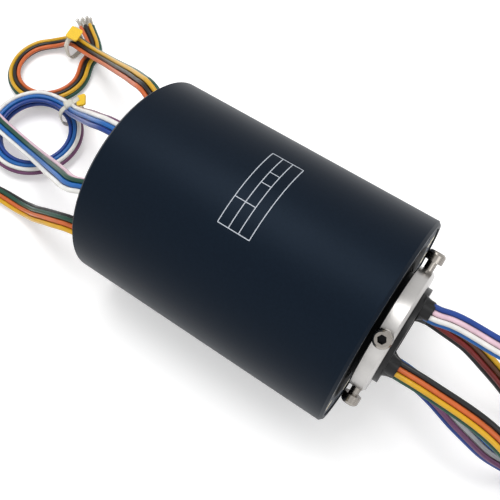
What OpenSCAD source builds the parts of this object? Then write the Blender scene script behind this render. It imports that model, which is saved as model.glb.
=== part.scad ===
// Through-bore capsule slip ring with 24 circuits, clamped on a round shaft.
// All sizes are millimetres. The bore's axis is X, and +X points out of the clamp collar.
// The origin is where that axis meets the front end of the housing, and +Z is up.
// Angles around the axis count from +Z towards -Y.

/* [Circuits] */
// Number of circuits, and so of contact rings
circuits = 24; // [6:1:24]
// Width of one contact ring
ring_w = 2.3; // [2:0.1:2.6]
// Width of one insulating barrier ring
barrier_w = 1.2; // [1:0.1:1.6]
// Diameter of the contact rings' track
ring_d = 51; // [46:0.5:55]
// Radial thickness of a contact ring
ring_t = 2.5; // [1.5:0.1:3]
// Height of a barrier above the track
barrier_h = 1.3; // [0.8:0.1:1.8]
// Wall of the insulating barrel that carries the rings
barrel_wall = 1.5; // [0.8:0.1:2]
// Free length at each end of the ring stack
stack_end = 3.15; // [3.1:0.05:6]

/* [Housing] */
// Outer diameter of the housing
housing_d = 86; // [78:0.5:100]
// Wall of the housing tube between its end seats
housing_wall = 3.4; // [2.8:0.1:3.6]
// Depth of the step that each end cap sits on
seat_step = 0.8; // [0.5:0.1:1.2]
// Thickness of an end cap at its rim
cap_t = 7.5; // [7:0.5:10]
// How far an end cap lies inside the tube's end
cap_recess = 0.5; // [0.3:0.1:1]
// Chamfer on the tube's outer edges
edge_chamfer = 1.1; // [0.4:0.1:1.6]
// Thickness of the ring that carries the brush holders
support_t = 4; // [3.5:0.5:6]
// Distance of the mounting holes' circle inside that of the cap screws
mount_step = 1; // [0.8:0.1:2]
// Diameter of a frame post
post_d = 5; // [4.5:0.1:5]

/* [Shaft and bearings] */
// Bore that the machine's shaft goes through
bore_d = 25.4; // [20:0.1:26]
// Outer diameter of the shaft sleeve, which is the bearings' bore
sleeve_d = 40; // [39.6:0.1:40.6]
// Outer diameter of the bearings
bearing_d = 50; // [49:0.5:52]
// Width of the bearings, which lie flush with the caps' inner faces
bearing_w = 6; // [5:0.5:6.5]
// Diameter of the bearings' balls
ball_d = 3.2; // [2.8:0.1:3.4]
// Balls in each bearing
balls = 16; // [10:1:20]
// Length of the sleeve behind the housing
sleeve_tail = 1; // [0.5:0.5:6]

/* [Clamp collar] */
// Outer diameter of the clamp collar
collar_d = 51; // [47:0.5:53]
// Width of the collar in front of the housing
collar_w = 6.5; // [6:0.5:10]
// Gap between the housing's end and the collar
collar_gap = 1.1; // [0.6:0.1:3]
// Diameter of the clamp screws' thread
screw_d = 4; // [3:0.5:4]
// Length of a clamp screw under its head
screw_l = 13.4; // [12:0.1:13.4]
// Distance between a screw's head and the collar at rest
head_gap = 3.5; // [3:0.1:4]
// Diameter of a clamp screw's head
head_d = 7; // [6:0.1:7.5]
// Height of a clamp screw's head
head_h = 4; // [3.2:0.1:4.5]
// Turn of the clamp screws around the axis, in degrees
screw_turn = 32; // [30:1:36]

/* [Brushes] */
// Width of a brush along the axis
brush_w = 1.8; // [1.4:0.1:1.9]
// Size of a brush around the axis
brush_t = 5; // [4:0.5:6]
// Width of a brush holder
holder_w = 14; // [12:0.5:16]
// Height of a brush holder
holder_h = 4; // [3.5:0.5:5]
// Space for the springs between holder and board
spring_space = 1.6; // [1.4:0.1:2.2]
// Thickness of a terminal board
board_t = 1.2; // [1:0.2:1.6]
// Width of a terminal board
board_w = 15; // [14:0.5:17]
// Thickness of a leaf spring's strip
leaf_t = 0.25; // [0.2:0.05:0.3]

/* [Leads] */
// Diameter of a bundle of six leads
bundle_d = 6; // [5:0.5:6.5]
// Radius at which the rear bundles leave
rear_lead_r = 32.2; // [29:0.1:36]
// Radius at which the front bundles leave
front_lead_r = 16.4; // [16.2:0.1:16.6]
// Length of the flared nubs round the bundles
nub_l = 4; // [2:0.5:5]
// Wall of potting round each rear bundle in its hole in the cap
lead_wall = 0.3; // [0.2:0.1:0.6]
// Width of a slot that takes a bundle along the sleeve
slot_w = 7; // [6:0.5:8]
// Depth of such a slot
slot_depth = 4.2; // [3.5:0.1:4.5]
// Thickness of the potting at the front end of the sleeve
front_potting = 2; // [1:0.5:4]
// Thickness of the potting behind the brushes
rear_potting = 2.5; // [2:0.5:5]

/* [Fits] */
// Radial gap between a cap and its seat in the tube
cap_gap = 0.1; // [0.05:0.05:0.2]
// Running gap between brush and ring
brush_gap = 0.1; // [0.05:0.05:0.2]
// Gap between a brush and its pocket, on each side
pocket_gap = 0.1; // [0.05:0.05:0.15]
// Running gap between balls and races
ball_gap = 0.08; // [0.05:0.01:0.12]
// Running gap of the front seal's lip
seal_gap = 0.1; // [0.05:0.05:0.2]
// Radial gap between a clamp screw and its thread
thread_gap = 0.1; // [0.05:0.01:0.1]
// Gap between the barriers and the brush holders
barrier_gap = 0.4; // [0.2:0.1:1]
// Gap round screws, posts and pins that pass through a plate
hole_gap = 0.1; // [0.05:0.05:0.2]

/* [Hidden] */
$fn = 72;
eps = 0.5;
// Along the axis, from the front to the rear
pitch = ring_w + barrier_w;
stack_l = circuits * pitch + barrier_w;
cap_front = -cap_recess;
cap_inner = cap_front - cap_t;
cavity_front = cap_inner - support_t;
stack_front = cavity_front - stack_end;
stack_rear = stack_front - stack_l;
cavity_rear = stack_rear - stack_end;
rear_inner = cavity_rear - rear_potting;
rear_outer = rear_inner - cap_t;
housing_rear = rear_outer - cap_recess;
bearing_front = cap_inner + bearing_w;
bearing_rear = rear_inner - bearing_w;
bearing_starts = [cap_inner, bearing_rear];
sleeve_front = collar_gap + collar_w;
sleeve_rear = housing_rear - sleeve_tail;
// Across the axis, from the middle outwards
bore_r = bore_d / 2;
sleeve_r = sleeve_d / 2;
bearing_r = bearing_d / 2;
race_t = (bearing_r - sleeve_r) / 3;
ball_ring_r = (sleeve_r + bearing_r) / 2;
keeper_r = bearing_r - race_t / 2;
shoulder_r = sleeve_r + 0.7 * race_t;
ring_r = ring_d / 2;
barrel_r = ring_r - ring_t;
core_r = barrel_r - barrel_wall;
barrier_r = ring_r + barrier_h;
holder_r = barrier_r + barrier_gap;
holder_top = holder_r + holder_h;
board_r = holder_top + spring_space;
brush_top = holder_top + 0.4;
housing_r = housing_d / 2;
tube_r = housing_r - housing_wall;
seat_r = tube_r + seat_step;
cap_r = seat_r - cap_gap;
lip_r = ball_ring_r + race_t / 2;
boss_r = ball_ring_r - race_t / 2;
bolt_r = tube_r - cap_gap - post_d / 2;
mount_r = bolt_r - mount_step;
collar_r = collar_d / 2;
collar_mid = collar_gap + collar_w / 2;
head_base = collar_r + head_gap;
nub_r = bundle_d / 2 + 0.4;
lead_hole_d = bundle_d + 2 * lead_wall;
// Pins of the brush holders, and the frame's countersunk screws
pin_d = 3;
bolt_d = 3;
bolt_head = 5.4;
bolt_hole = bolt_d + 2 * hole_gap;
bolt_sink = bolt_head + 2 * hole_gap;
// Turns around the axis
rear_lead_turns = [-40, 5, 50, 95];
front_lead_turns = [-22, 68, 158, -112];
board_turns = [17, 197];
post_turns = [for (i = [0:3]) -28 + 90 * i];
mount_turns = [for (i = [0:3]) -49 + 90 * i];
support_screw_turns = [for (i = [0:3], k = [-10, 12]) k + 90 * i];
// The floor that the ring lies on, and the coils on it
floor_z = -housing_d / 2;
coil_lift = 1;
coil_h = 5;
coil_w = 9;
tie_t = 0.8;
lock_h = 2.6;

// A point at radius r and turn a
function at_turn(x, r, a) = [x, -r * sin(a), r * cos(a)];
// Where the front and rear bundles start, at the end of their nubs
function front_exit(i) = at_turn(sleeve_front + front_potting + nub_l, front_lead_r, front_lead_turns[i]);
function rear_exit(i) = at_turn(rear_outer - cap_recess - nub_l + 1, rear_lead_r, rear_lead_turns[i]);

// Route points of the front bundles, out of the nubs and down to their coils
front_routes = [
    [[22, 8, 15], [30, 8.5, 14.5], [39, 8.6, 14.2], [48, 10.2, 13], [56, 13.5, 10.5], [63, 17, 6],
     [69, 19.5, -1], [74, 20.5, -10], [79, 20, -19], [84, 18.5, -26.5], [90, 17, -31], [96, 16, -32]],
    [[22, -15.2, 6.5], [31, -15.3, 6.2], [40, -15.4, 5.6], [49, -15.8, 4.2], [57, -16.5, 1],
     [64, -17, -4.5], [70, -16.5, -12], [76, -14.5, -20], [82, -11, -26.5], [88, -7, -30.5],
     [94, -3.5, -32], [100, -2, -32]],
    [[22, -7, -15], [31, -9, -15], [40, -12, -15], [48, -13, -18], [56, -13, -23], [64, -11, -29],
     [72, -8, -35], [80, -5, -38], [88, -3, -38.5], [96, -2, -38.5]],
    [[22, 15, -7], [31, 15, -9], [40, 14, -13], [49, 14, -20], [58, 14, -28], [66, 15, -35],
     [74, 16, -38], [82, 16, -38.5], [91, 16, -38.5]]
];
// Route points of the rear bundles, out of the nubs, down, and over or into their coils
rear_routes = [
    [[-126, 23.5, 25], [-136, 29, 21], [-146, 35, 14], [-156, 40, 5], [-166, 45, -5], [-176, 50, -15],
     [-186, 54, -24], [-196, 58, -31], [-206, 61, -33.5], [-215, 61, -33.5], [-223, 60, -38]],
    [[-124, -2.8, 31.6], [-132, -2, 27.5], [-140, 1, 20], [-148, 5, 10], [-156, 9, -1], [-164, 14, -12],
     [-171, 18, -22], [-178, 22, -29], [-184, 24, -30.6], [-190, 26, -31.8], [-196, 26, -34]],
    [[-126, -25, 19], [-135, -24, 13], [-144, -22, 5], [-153, -19, -4], [-162, -16, -14],
     [-172, -13, -23], [-182, -10, -28.5], [-192, -7, -29.5], [-203, -4, -29.5], [-214, -1, -29.5],
     [-226, 2, -33], [-236, 3, -37], [-246, 3, -38.5]],
    [[-126, -33, -3.8], [-135, -33.6, -8], [-144, -33, -15], [-153, -32, -23], [-162, -30, -32],
     [-172, -29, -38], [-182, -29, -39], [-194, -30, -39], [-208, -30, -38.5]]
];
// The cut and tinned ends beyond the first rear coil
tail_route = [[-206, 53, -35], [-203, 60, -39.5], [-205, 67, -40], [-212, 72, -40], [-219, 78, -40], [-224, 83, -40]];
// Each coil: middle, radius of its turns, height, and tilt about an axis in the plane
coils = [
    ["rear", [-217, 42], 18.5, coil_h, 0],
    ["rear", [-193, 6], 20, coil_h, 7],
    ["rear", [-248, -16], 19, coil_h, 0],
    ["rear", [-212, -49], 19, coil_h, 0],
    ["front", [94, 34], 18, 9, 0],
    ["front", [100, -20], 18, 9, 0]
];
tilt_axis = [0.83, 0.55, 0];
// Height of a coil's middle: on the floor, or leaning on its neighbour
function coil_z(c) = floor_z + coil_lift + c[3] / 2 + (c[4] > 0 ? (c[2] + coil_w / 2) * sin(c[4]) : 0);
// Each tie: place, inner width, inner height, turn about +Z, tilt
ties = [
    [[-215, 60.5, -36.3], 10.6, 11.8, 0, 0],
    [[-183, 23.6, -32.7], 11.4, 12, -26, 4],
    [[-248, -35, -39.45], 9.6, 5.5, 0, 0],
    [[-212, -68, -39.45], 9.6, 5.5, 0, 0],
    [[94, 52, -37.45], 9.6, 9.5, 0, 0],
    [[100, -38, -37.45], 9.6, 9.5, 0, 0]
];

// ---- shared shapes ----

// A solid turned about the X axis: points are [radius, place along X]
module turned(points) {
    rotate([0, 90, 0])
        rotate_extrude()
            polygon(points);
}

// A plain ring about the X axis, from x1 to x2
module ring_x(x1, x2, r_in, r_out) {
    turned([[r_in, x1], [r_out, x1], [r_out, x2], [r_in, x2]]);
}

// A round bar along +X, from x1 to x2, at radius r and turn a
module bar_x(x1, x2, r, a, d) {
    rotate([a, 0, 0])
        translate([x1, 0, r])
            rotate([0, 90, 0])
                cylinder(h = x2 - x1, d = d);
}

// A countersunk screw along X; dir is 1 where its head looks along +X
module flat_screw(x, dir, r, a, d, length, head) {
    slope = (head - d) / 2;
    rotate([a, 0, 0])
        translate([x, 0, r])
            rotate([0, -90 * dir, 0])
                difference() {
                    union() {
                        cylinder(h = slope, d1 = head, d2 = d);
                        cylinder(h = length, d = d);
                    }
                    translate([0, 0, -eps])
                        cylinder(h = slope + eps, d = d * 0.72, $fn = 6);
                }
}

// The hole for such a screw
module flat_screw_hole(x, dir, r, a, d, length, head) {
    slope = (head - d) / 2;
    rotate([a, 0, 0])
        translate([x, 0, r])
            rotate([0, -90 * dir, 0])
                union() {
                    cylinder(h = slope, d1 = head, d2 = d);
                    translate([0, 0, -eps])
                        cylinder(h = length + eps, d = d);
                    translate([0, 0, -eps])
                        cylinder(h = eps, d = head);
                }
}

// ---- housing ----

module housing_tube() {
    color([0.10, 0.12, 0.16])
        turned([
            [tube_r, rear_inner], [seat_r, rear_inner], [seat_r, housing_rear],
            [housing_r - edge_chamfer, housing_rear], [housing_r, housing_rear + edge_chamfer],
            [housing_r, -edge_chamfer], [housing_r - edge_chamfer, 0], [seat_r, 0],
            [seat_r, cap_inner], [tube_r, cap_inner]
        ]);
}

module front_cap() {
    color([0.12, 0.14, 0.18])
        difference() {
            turned([
                [lip_r, cap_front], [cap_r, cap_front], [cap_r, cap_inner],
                [bearing_r, cap_inner], [bearing_r, bearing_front], [lip_r, bearing_front]
            ]);
            for (a = concat(post_turns, support_screw_turns))
                flat_screw_hole(cap_front, 1, bolt_r, a, bolt_hole, cap_t + 1, bolt_sink);
            for (a = mount_turns)
                bar_x(cap_inner - 1, cap_front + 1, mount_r, a, 3.3);
        }
}

module rear_cap() {
    color([0.12, 0.14, 0.18])
        difference() {
            turned([
                [lip_r, rear_outer], [lip_r, bearing_rear], [bearing_r, bearing_rear],
                [bearing_r, rear_inner], [cap_r, rear_inner], [cap_r, rear_outer]
            ]);
            for (a = post_turns)
                flat_screw_hole(rear_outer, -1, bolt_r, a, bolt_hole, cap_t + 1, bolt_sink);
            for (a = rear_lead_turns)
                bar_x(rear_outer - 1, rear_inner + 1, rear_lead_r, a, lead_hole_d);
        }
}

module support_ring() {
    color([0.75, 0.75, 0.73])
        difference() {
            ring_x(cavity_front, cap_inner, keeper_r, tube_r - cap_gap);
            for (a = post_turns)
                bar_x(cavity_front - 1, cap_inner + 1, bolt_r, a, post_d + 2 * hole_gap);
            for (a = support_screw_turns)
                bar_x(cavity_front - 1, cap_inner + 1, bolt_r, a, bolt_d);
            for (a = board_turns)
                bar_x(cavity_front - 1, cap_inner + 1, holder_pin_r(), a, pin_d);
        }
}

// Radius at which a brush holder's end pins sit
function holder_pin_r() = holder_r + holder_h / 2;

module frame_posts() {
    color("silver")
        for (a = post_turns)
            difference() {
                bar_x(rear_inner, cap_inner, bolt_r, a, post_d);
                bar_x(cap_inner - 10, cap_inner + 1, bolt_r, a, bolt_d);
                bar_x(rear_inner - 1, rear_inner + 10, bolt_r, a, bolt_d);
            }
}

module post_screws() {
    color("gainsboro")
        for (a = post_turns) {
            flat_screw(cap_front, 1, bolt_r, a, bolt_d, cap_t + 7, bolt_head);
            flat_screw(rear_outer, -1, bolt_r, a, bolt_d, cap_t + 7, bolt_head);
        }
}

module support_screws() {
    color("gainsboro")
        for (a = support_screw_turns)
            flat_screw(cap_front, 1, bolt_r, a, bolt_d, cap_t + support_t - 1, bolt_head);
}

module front_seal() {
    color([0.05, 0.05, 0.05])
        ring_x(bearing_front, cap_front - 0.3, boss_r + seal_gap, lip_r);
}

// Potting behind the brushes, with a plug and a flared nub at each rear bundle
module stator_potting() {
    color([0.07, 0.07, 0.08])
        difference() {
            union() {
                ring_x(rear_inner, cavity_rear, keeper_r, tube_r);
                for (a = rear_lead_turns) {
                    bar_x(rear_outer - eps, cavity_rear - eps, rear_lead_r, a, lead_hole_d);
                    rotate([a, 0, 0])
                        translate([rear_outer, 0, rear_lead_r])
                            rotate([0, -90, 0])
                                cylinder(h = nub_l + cap_recess - 1, r1 = nub_r + 0.4, r2 = nub_r);
                }
            }
            for (a = post_turns)
                bar_x(rear_inner - 1, cavity_rear + 1, bolt_r, a, post_d);
            for (a = board_turns)
                bar_x(cavity_rear - 2, cavity_rear + 1, holder_pin_r(), a, pin_d);
        }
}

// ---- bearings ----

// One race of a bearing, with its ball groove
module race(x, r_in, r_out) {
    difference() {
        ring_x(x, x + bearing_w, r_in, r_out);
        translate([x + bearing_w / 2, 0, 0])
            rotate([0, 90, 0])
                rotate_extrude()
                    translate([ball_ring_r, 0])
                        circle(d = ball_d + 2 * ball_gap);
    }
}

module outer_races() {
    color("silver")
        for (x = bearing_starts)
            race(x, bearing_r - race_t, bearing_r);
}

module inner_races() {
    color("silver")
        for (x = bearing_starts)
            race(x, sleeve_r, sleeve_r + race_t);
}

module ball_ring(d) {
    for (i = [0:balls - 1])
        rotate([360 * i / balls, 0, 0])
            translate([0, 0, ball_ring_r])
                sphere(d = d, $fn = 32);
}

module bearing_balls() {
    color("white")
        for (x = bearing_starts)
            translate([x + bearing_w / 2, 0, 0])
                ball_ring(ball_d);
}

module ball_cages() {
    color([0.45, 0.33, 0.15])
        for (x = bearing_starts)
            difference() {
                ring_x(x + 0.8, x + bearing_w - 0.8, ball_ring_r - 0.6, ball_ring_r + 0.6);
                translate([x + bearing_w / 2, 0, 0])
                    ball_ring(ball_d + 2 * ball_gap);
            }
}

// ---- rotor ----

// The slots that take the bundles along the sleeve, open to its outside
module lead_slots(front) {
    for (a = front_lead_turns)
        rotate([a, 0, 0])
            translate([stack_rear, -slot_w / 2, sleeve_r - slot_depth])
                cube([front - stack_rear, slot_w, max(core_r, shoulder_r) - sleeve_r + slot_depth + 1]);
}

// Radial holes for the clamp screws
module clamp_holes(d, r1, r2) {
    for (i = [0:3])
        rotate([screw_turn + 90 * i, 0, 0])
            translate([collar_mid, 0, r1])
                cylinder(h = r2 - r1, d = d);
}

// The sleeve before its slots and holes: bearing journals, their shoulders, and the core under the rings
module sleeve_core() {
    groove = rear_outer + 0.3;
    turned([
        [bore_r, sleeve_rear], [sleeve_r - 0.5, sleeve_rear], [sleeve_r, sleeve_rear + 0.5],
        [sleeve_r, groove], [sleeve_r - 1, groove], [sleeve_r - 1, bearing_rear],
        [sleeve_r, bearing_rear], [sleeve_r, rear_inner], [shoulder_r, rear_inner],
        [shoulder_r, stack_rear - 1], [core_r, stack_rear - 1], [core_r, stack_front + 1],
        [shoulder_r, stack_front + 1], [shoulder_r, cap_inner], [sleeve_r, cap_inner],
        [sleeve_r, sleeve_front], [bore_r, sleeve_front]
    ]);
}

module shaft_sleeve() {
    color([0.62, 0.63, 0.65])
        difference() {
            sleeve_core();
            lead_slots(sleeve_front + 1);
            clamp_holes(screw_d + 2 * thread_gap, bore_r - 3, sleeve_r + 1);
        }
}

module ring_barrel() {
    color([0.12, 0.12, 0.12])
        ring_x(stack_rear - 1, stack_front + 1, core_r, barrel_r);
}

module contact_rings() {
    color("goldenrod")
        for (i = [0:circuits - 1]) {
            x = stack_rear + barrier_w + i * pitch;
            ring_x(x, x + ring_w, barrel_r, ring_r);
        }
}

module barrier_rings() {
    color([0.85, 0.82, 0.72])
        for (i = [0:circuits]) {
            x = stack_rear + i * pitch;
            ring_x(x, x + barrier_w, barrel_r, barrier_r);
        }
}

module retaining_ring() {
    x1 = rear_outer + 0.3;
    color([0.25, 0.25, 0.27])
        difference() {
            ring_x(x1, bearing_rear, sleeve_r - 1, sleeve_r + 2);
            rotate([180, 0, 0])
                translate([x1 - 1, -2.5, sleeve_r - 3])
                    cube([4, 5, 8]);
        }
}

module clamp_collar() {
    boss_rear = bearing_front;
    color([0.78, 0.77, 0.74])
        difference() {
            turned([
                [sleeve_r, boss_rear], [boss_r, boss_rear], [boss_r, collar_gap],
                [collar_r - 0.4, collar_gap], [collar_r, collar_gap + 0.4], [collar_r, sleeve_front - 1],
                [collar_r - 1, sleeve_front], [sleeve_r, sleeve_front]
            ]);
            clamp_holes(screw_d, sleeve_r - 2, collar_r + 2);
        }
}

// Potting that fills the slots, closes the front end and flares round each bundle
module rotor_potting() {
    color([0.06, 0.06, 0.07]) {
        union() {
            intersection() {
                lead_slots(sleeve_front + 1);
                sleeve_core();
            }
            ring_x(sleeve_front, sleeve_front + front_potting, bore_r + 0.6, sleeve_r);
            for (a = front_lead_turns)
                rotate([a, 0, 0])
                    translate([sleeve_front + front_potting - eps, 0, front_lead_r])
                        rotate([0, 90, 0])
                            cylinder(h = nub_l + eps, r1 = nub_r + 0.15, r2 = nub_r - 0.2);
        }
    }
}

// A socket head cap screw that points at the axis, with its rounded head outside
module clamp_screw(i) {
    shank_r = screw_d / 2 - thread_gap;
    head_r = head_d / 2;
    color([0.70, 0.70, 0.70])
        rotate([screw_turn + 90 * i, 0, 0])
            translate([collar_mid, 0, head_base])
                difference() {
                    union() {
                        rotate_extrude()
                            polygon([
                                [0, 0], [head_r, 0], [head_r, head_h - 1.1], [head_r - 0.3, head_h - 0.5],
                                [head_r - 0.9, head_h], [0, head_h]
                            ]);
                        translate([0, 0, -screw_l])
                            cylinder(h = screw_l + 0.1, r = shank_r);
                    }
                    translate([0, 0, head_h - 2.2])
                        cylinder(h = 3, d = 3.46, $fn = 6);
                }
}

// ---- brushes ----

// Runs its children at each brush set's turn, with +Z outwards
module at_brush_sets() {
    for (a = board_turns)
        rotate([a, 0, 0])
            children();
}

module brush_holders() {
    color([0.20, 0.16, 0.12])
        at_brush_sets()
            difference() {
                union() {
                    translate([cavity_rear, -holder_w / 2, holder_r])
                        cube([cavity_front - cavity_rear, holder_w, holder_h]);
                    for (x = [cavity_rear, stack_front + 0.1])
                        translate([x, -holder_w / 2, holder_r])
                            cube([stack_end - 0.1, holder_w, board_r - holder_r]);
                    bar_x(cavity_rear - 2, cavity_front + 3, holder_pin_r(), 0, pin_d);
                }
                for (i = [0:circuits - 1])
                    translate([ring_mid(i) - pocket_w() / 2, -pocket_t() / 2, holder_r - 1])
                        cube([pocket_w(), pocket_t(), holder_h + 2]);
                for (x = board_screw_x(), y = board_screw_y())
                    translate([x, y, board_r - 3])
                        cylinder(h = 4, d = 1.6);
            }
}

function ring_mid(i) = stack_rear + barrier_w + i * pitch + ring_w / 2;
function pocket_w() = brush_w + 2 * pocket_gap;
function pocket_t() = brush_t + 2 * pocket_gap;
function board_screw_x() = [cavity_rear + stack_end / 2, cavity_front - stack_end / 2];
function board_screw_y() = [-holder_w / 2 + 2.5, holder_w / 2 - 2.5];

module brushes() {
    color([0.25, 0.24, 0.22])
        at_brush_sets()
            difference() {
                for (i = [0:circuits - 1])
                    translate([ring_mid(i) - brush_w / 2, -brush_t / 2, ring_r - 1])
                        cube([brush_w, brush_t, brush_top - ring_r + 1]);
                bar_x(stack_rear - 1, stack_front + 1, 0, 0, ring_d + 2 * brush_gap);
            }
}

// A leaf spring for each brush: its foot is on the board and its tip on the brush
module leaf_springs() {
    foot = holder_w / 2;
    bend = foot - 2.4;
    color([0.80, 0.62, 0.25])
        at_brush_sets()
            for (i = [0:circuits - 1])
                translate([ring_mid(i) - 0.7, 0, 0])
                    rotate([90, 0, 90])
                        linear_extrude(1.4)
                            polygon([
                                [foot, board_r], [foot, board_r - leaf_t], [bend, board_r - leaf_t],
                                [1.6, brush_top], [-1.6, brush_top], [-1.6, brush_top + leaf_t],
                                [1.5, brush_top + leaf_t], [bend - 0.2, board_r]
                            ]);
}

module terminal_boards() {
    color([0.05, 0.30, 0.18])
        at_brush_sets()
            difference() {
                translate([cavity_rear, -board_w / 2, board_r])
                    cube([cavity_front - cavity_rear, board_w, board_t]);
                for (x = board_screw_x(), y = board_screw_y())
                    translate([x, y, board_r - 1])
                        cylinder(h = board_t + 2, d = 1.7);
            }
}

module board_screws() {
    color("gainsboro")
        at_brush_sets()
            for (x = board_screw_x(), y = board_screw_y())
                translate([x, y, board_r - 2.5])
                    union() {
                        cylinder(h = board_t + 2.6, d = 1.6);
                        translate([0, 0, board_t + 2.5])
                            cylinder(h = 0.6, d = 2.6);
                    }
}

// ---- leads ----

function unit(v) = v / norm(v);

// The direction of a route at its point i
function heading(route, i) =
    i == 0 ? [sign(route[1][0] - route[0][0]), 0, 0] :
    unit(route[min(i + 1, len(route) - 1)] - route[i - 1]);

// The sides of a round tube about a route's point, square to its direction
function tube_ring(p, dir, r, n) =
    let (side = unit(cross(dir, [0, 0, 1])), up = cross(side, dir))
    [for (k = [0:n - 1]) p + r * (cos(360 * k / n) * side + sin(360 * k / n) * up)];

// A round tube along a route, closed at both ends
module tube(route, r, n = 8) {
    rings = len(route);
    points = [for (i = [0:rings - 1]) each tube_ring(route[i], heading(route, i), r, n)];
    sides = [
        for (i = [0:rings - 2], k = [0:n - 1])
            let (a = i * n + k, b = i * n + (k + 1) % n)
            each [[a, b, b + n], [a, b + n, a + n]]
    ];
    start = [for (k = [n - 1:-1:0]) k];
    end = [for (k = [0:n - 1]) (rings - 1) * n + k];
    polyhedron(points = points, faces = concat([start], sides, [end]), convexity = 6);
}

module front_bundle(i) {
    color([0.15, 0.25, 0.55])
        tube(concat([front_exit(i)], front_routes[i]), bundle_d / 2);
}

module rear_bundle(i) {
    color([0.85, 0.45, 0.20])
        tube(concat([rear_exit(i)], rear_routes[i]), bundle_d / 2);
}

// The outside of a coiled bundle: a flat ring with bevelled edges
module coil(i) {
    c = coils[i];
    w = coil_w / 2;
    h = c[3] / 2;
    b = 1.2;
    color([0.20, 0.22, 0.30])
        translate([c[1][0], c[1][1], coil_z(c)])
            rotate(a = c[4], v = tilt_axis)
                rotate_extrude()
                    translate([c[2], 0])
                        polygon([
                            [-w, b - h], [b - w, -h], [w - b, -h], [w, b - h],
                            [w, h - b], [w - b, h], [b - w, h], [-w, h - b]
                        ]);
}

module rear_lead_tail() {
    color([0.10, 0.10, 0.10])
        tube(tail_route, 2);
}

// A cable tie: a flat strap round a bundle, with its square lock on the outside
module cable_tie(t) {
    w = t[1];
    h = t[2];
    color([0.90, 0.90, 0.85])
        translate(t[0])
            rotate([0, t[4], t[3]])
                union() {
                    difference() {
                        cube([2.6, w + 2 * tie_t, h + 2 * tie_t], center = true);
                        cube([4, w, h], center = true);
                    }
                    translate([-2.2, -2.4, h / 2 + tie_t - 0.1])
                        cube([4.4, 4.8, lock_h]);
                }
}

module front_ties() {
    for (i = [4, 5])
        cable_tie(ties[i]);
}

module rear_ties() {
    for (i = [2, 3])
        cable_tie(ties[i]);
}

// A marker tag that sits on a tie's lock
module marker_tag(t, size) {
    color([0.95, 0.80, 0.10])
        translate(t[0])
            rotate([0, t[4], t[3]])
                translate([-size[0] / 2, -size[1] / 2, t[2] / 2 + tie_t + lock_h - 0.1])
                    cube([size[0], size[1], 1]);
}

housing_tube();
front_cap();
rear_cap();
support_ring();
frame_posts();
post_screws();
support_screws();
outer_races();
front_seal();
stator_potting();
brush_holders();
brushes();
leaf_springs();
terminal_boards();
board_screws();
shaft_sleeve();
ring_barrel();
contact_rings();
barrier_rings();
inner_races();
bearing_balls();
ball_cages();
retaining_ring();
clamp_collar();
rotor_potting();
clamp_screw(0);  // clamp_screw_1
clamp_screw(1);  // clamp_screw_2
clamp_screw(2);  // clamp_screw_3
clamp_screw(3);  // clamp_screw_4
front_bundle(0);  // front_bundle_1
front_bundle(1);  // front_bundle_2
front_bundle(2);  // front_bundle_3
front_bundle(3);  // front_bundle_4
coil(4);  // front_coil_1
coil(5);  // front_coil_2
front_ties();
rear_bundle(0);  // rear_bundle_1
rear_bundle(1);  // rear_bundle_2
rear_bundle(2);  // rear_bundle_3
rear_bundle(3);  // rear_bundle_4
coil(0);  // rear_coil_1
coil(1);  // rear_coil_2
coil(2);  // rear_coil_3
coil(3);  // rear_coil_4
rear_lead_tail();
cable_tie(ties[0]);  // cable_tie_1
cable_tie(ties[1]);  // cable_tie_2
rear_ties();
marker_tag(ties[0], [7, 6]);  // marker_tag_1
marker_tag(ties[1], [6, 4]);  // marker_tag_2
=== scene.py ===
"""Looks of a through-bore slip ring: its leads, ties, label lines, finishes, stage and camera.

Everything is in metres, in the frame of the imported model: +X runs out of the clamp collar along
the bore, and +Z is up as the ring lies on its side.
"""
import math

import bpy
import numpy as np
from bpy.props import FloatProperty, FloatVectorProperty, IntProperty, PointerProperty
from mathutils import Matrix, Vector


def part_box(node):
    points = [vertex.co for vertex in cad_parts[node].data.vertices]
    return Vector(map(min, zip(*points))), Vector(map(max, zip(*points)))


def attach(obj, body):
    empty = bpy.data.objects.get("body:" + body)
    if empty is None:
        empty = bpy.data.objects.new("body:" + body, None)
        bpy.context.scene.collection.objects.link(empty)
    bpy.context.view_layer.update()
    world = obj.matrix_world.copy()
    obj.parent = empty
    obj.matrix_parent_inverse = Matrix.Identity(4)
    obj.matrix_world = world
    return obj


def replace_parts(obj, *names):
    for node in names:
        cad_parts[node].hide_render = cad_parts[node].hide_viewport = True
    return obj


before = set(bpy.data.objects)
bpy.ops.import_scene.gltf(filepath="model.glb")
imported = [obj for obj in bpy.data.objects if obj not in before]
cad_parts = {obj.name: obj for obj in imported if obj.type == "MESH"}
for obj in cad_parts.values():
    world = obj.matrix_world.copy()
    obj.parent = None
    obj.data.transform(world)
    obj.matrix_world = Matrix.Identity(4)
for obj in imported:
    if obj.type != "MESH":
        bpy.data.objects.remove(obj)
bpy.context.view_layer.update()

bl_info = {
    "name": "Slip Ring Looks",
    "version": (1, 0, 0),
    "blender": (4, 5, 0),
    "location": "View3D > Sidebar > Slip Ring",
    "description": "Leads, ties, label lines, finishes and stage of a through-bore slip ring",
    "category": "Object",
}

MM = 0.001
FLOOR_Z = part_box("housing_tube")[0].z
# The front cap gets black painted shade inside this radius; the collar's ring starts at this place along X,
# and its boss before it gets black painted shade
CAP_SHADE_R = 33 * MM
COLLAR_RING_X = 1 * MM
# The clamp screws: place along X, turn of the first, radius of a head, and its base and top from the axis
CLAMP_SCREWS = (4.35 * MM, 32, 3.5 * MM, 29.3 * MM, 32.7 * MM)
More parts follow.
